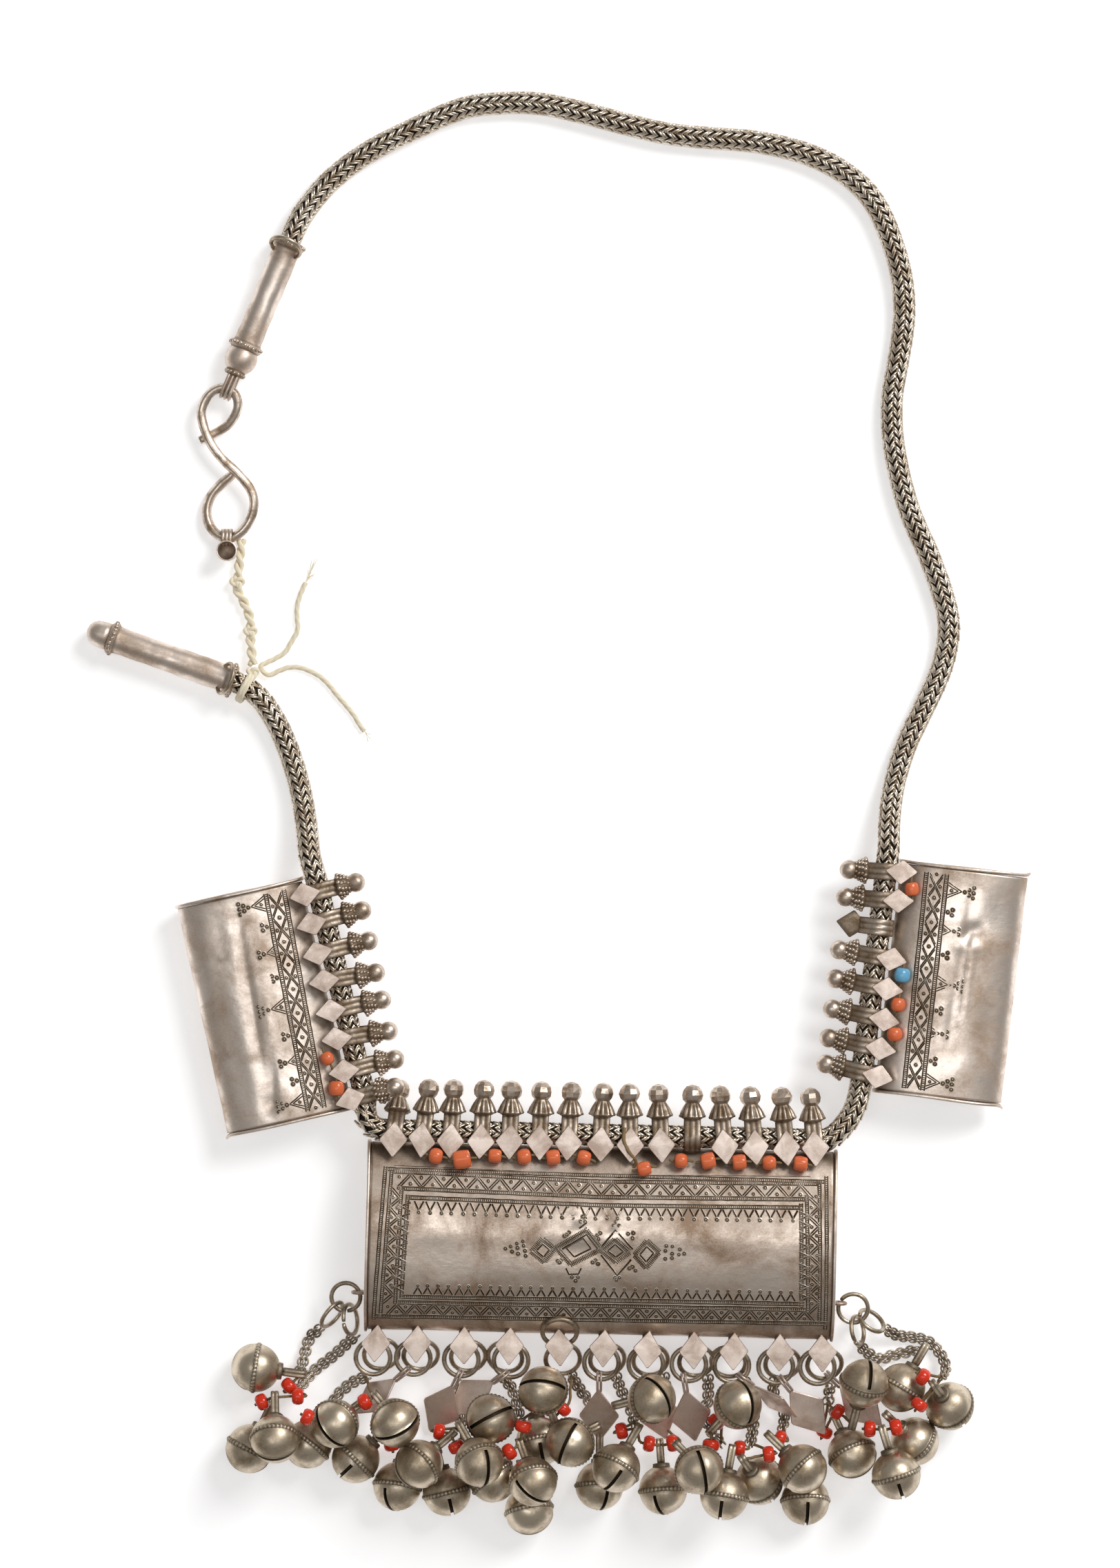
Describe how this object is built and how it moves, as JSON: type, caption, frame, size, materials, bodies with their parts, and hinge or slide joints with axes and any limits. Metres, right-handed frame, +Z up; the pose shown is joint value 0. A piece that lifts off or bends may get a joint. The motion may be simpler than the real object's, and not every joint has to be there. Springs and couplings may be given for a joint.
{
  "type": "silver necklace",
  "caption": "Lying silver necklace: a thick plaited chain that carries tubular amulet cases with rows of ball finials, and a fringe of round bells, thin chains and red beads.",
  "frame": {"origin": "centre of the bounding box, on the surface that the necklace lies on", "axes": "+Y from the bells to the back of the neck, +X to the right as seen from above, +Z up"},
  "size_m": [0.2742, 0.419, 0.0326],
  "materials": {
    "silver": "worn silver with brown tarnish",
    "pale_silver": "worn silver, paler",
    "bell_silver": "greenish grey silver, soft sheen",
    "coral": "polished coral",
    "red_glass": "opaque red glass",
    "cotton": "twisted cotton",
    "thread": "brown thread"
  },
  "bodies": {
    "root": {"rope_chain": "silver", "centre_case": "silver", "left_case": "silver", "right_case": "silver", "turned_loop": "silver", "centre_left_plate": "silver", "centre_right_plate": "silver", "left_top_plate": "silver", "left_bottom_plate": "silver", "right_top_plate": "silver", "right_bottom_plate": "silver", "upper_terminal": "silver", "lower_terminal": "silver", "terminal_rings": "pale_silver", "clasp_hook": "silver", "end_cup": "silver", "tie_string": "cotton", "tie_tails": "cotton", "tie_wrap": "cotton", "coral_beads": "coral", "coral_threads": "thread", "glass_beads": "red_glass", "bead_cords": "thread", "case_rings": "pale_silver", "drop_chains": "silver", "lozenge_pendants": "pale_silver", "bell_01": "bell_silver", "bell_02": "bell_silver", "bell_03": "bell_silver", "bell_04": "bell_silver", "bell_05": "bell_silver", "bell_06": "bell_silver", "bell_07": "bell_silver", "bell_08": "bell_silver", "bell_09": "bell_silver", "bell_10": "bell_silver", "bell_11": "bell_silver", "bell_12": "bell_silver", "bell_13": "bell_silver", "bell_14": "bell_silver", "bell_15": "bell_silver", "bell_16": "bell_silver", "bell_17": "bell_silver", "bell_18": "bell_silver", "bell_19": "bell_silver", "bell_20": "bell_silver", "bell_21": "bell_silver", "bell_22": "bell_silver", "bell_23": "bell_silver", "bell_24": "bell_silver", "bell_25": "bell_silver", "bell_26": "bell_silver", "bell_27": "bell_silver", "bell_28": "bell_silver", "bell_29": "bell_silver", "bell_30": "bell_silver", "bell_31": "bell_silver", "bell_32": "bell_silver", "bell_33": "bell_silver", "bell_34": "bell_silver"}
  },
  "joints": []
}
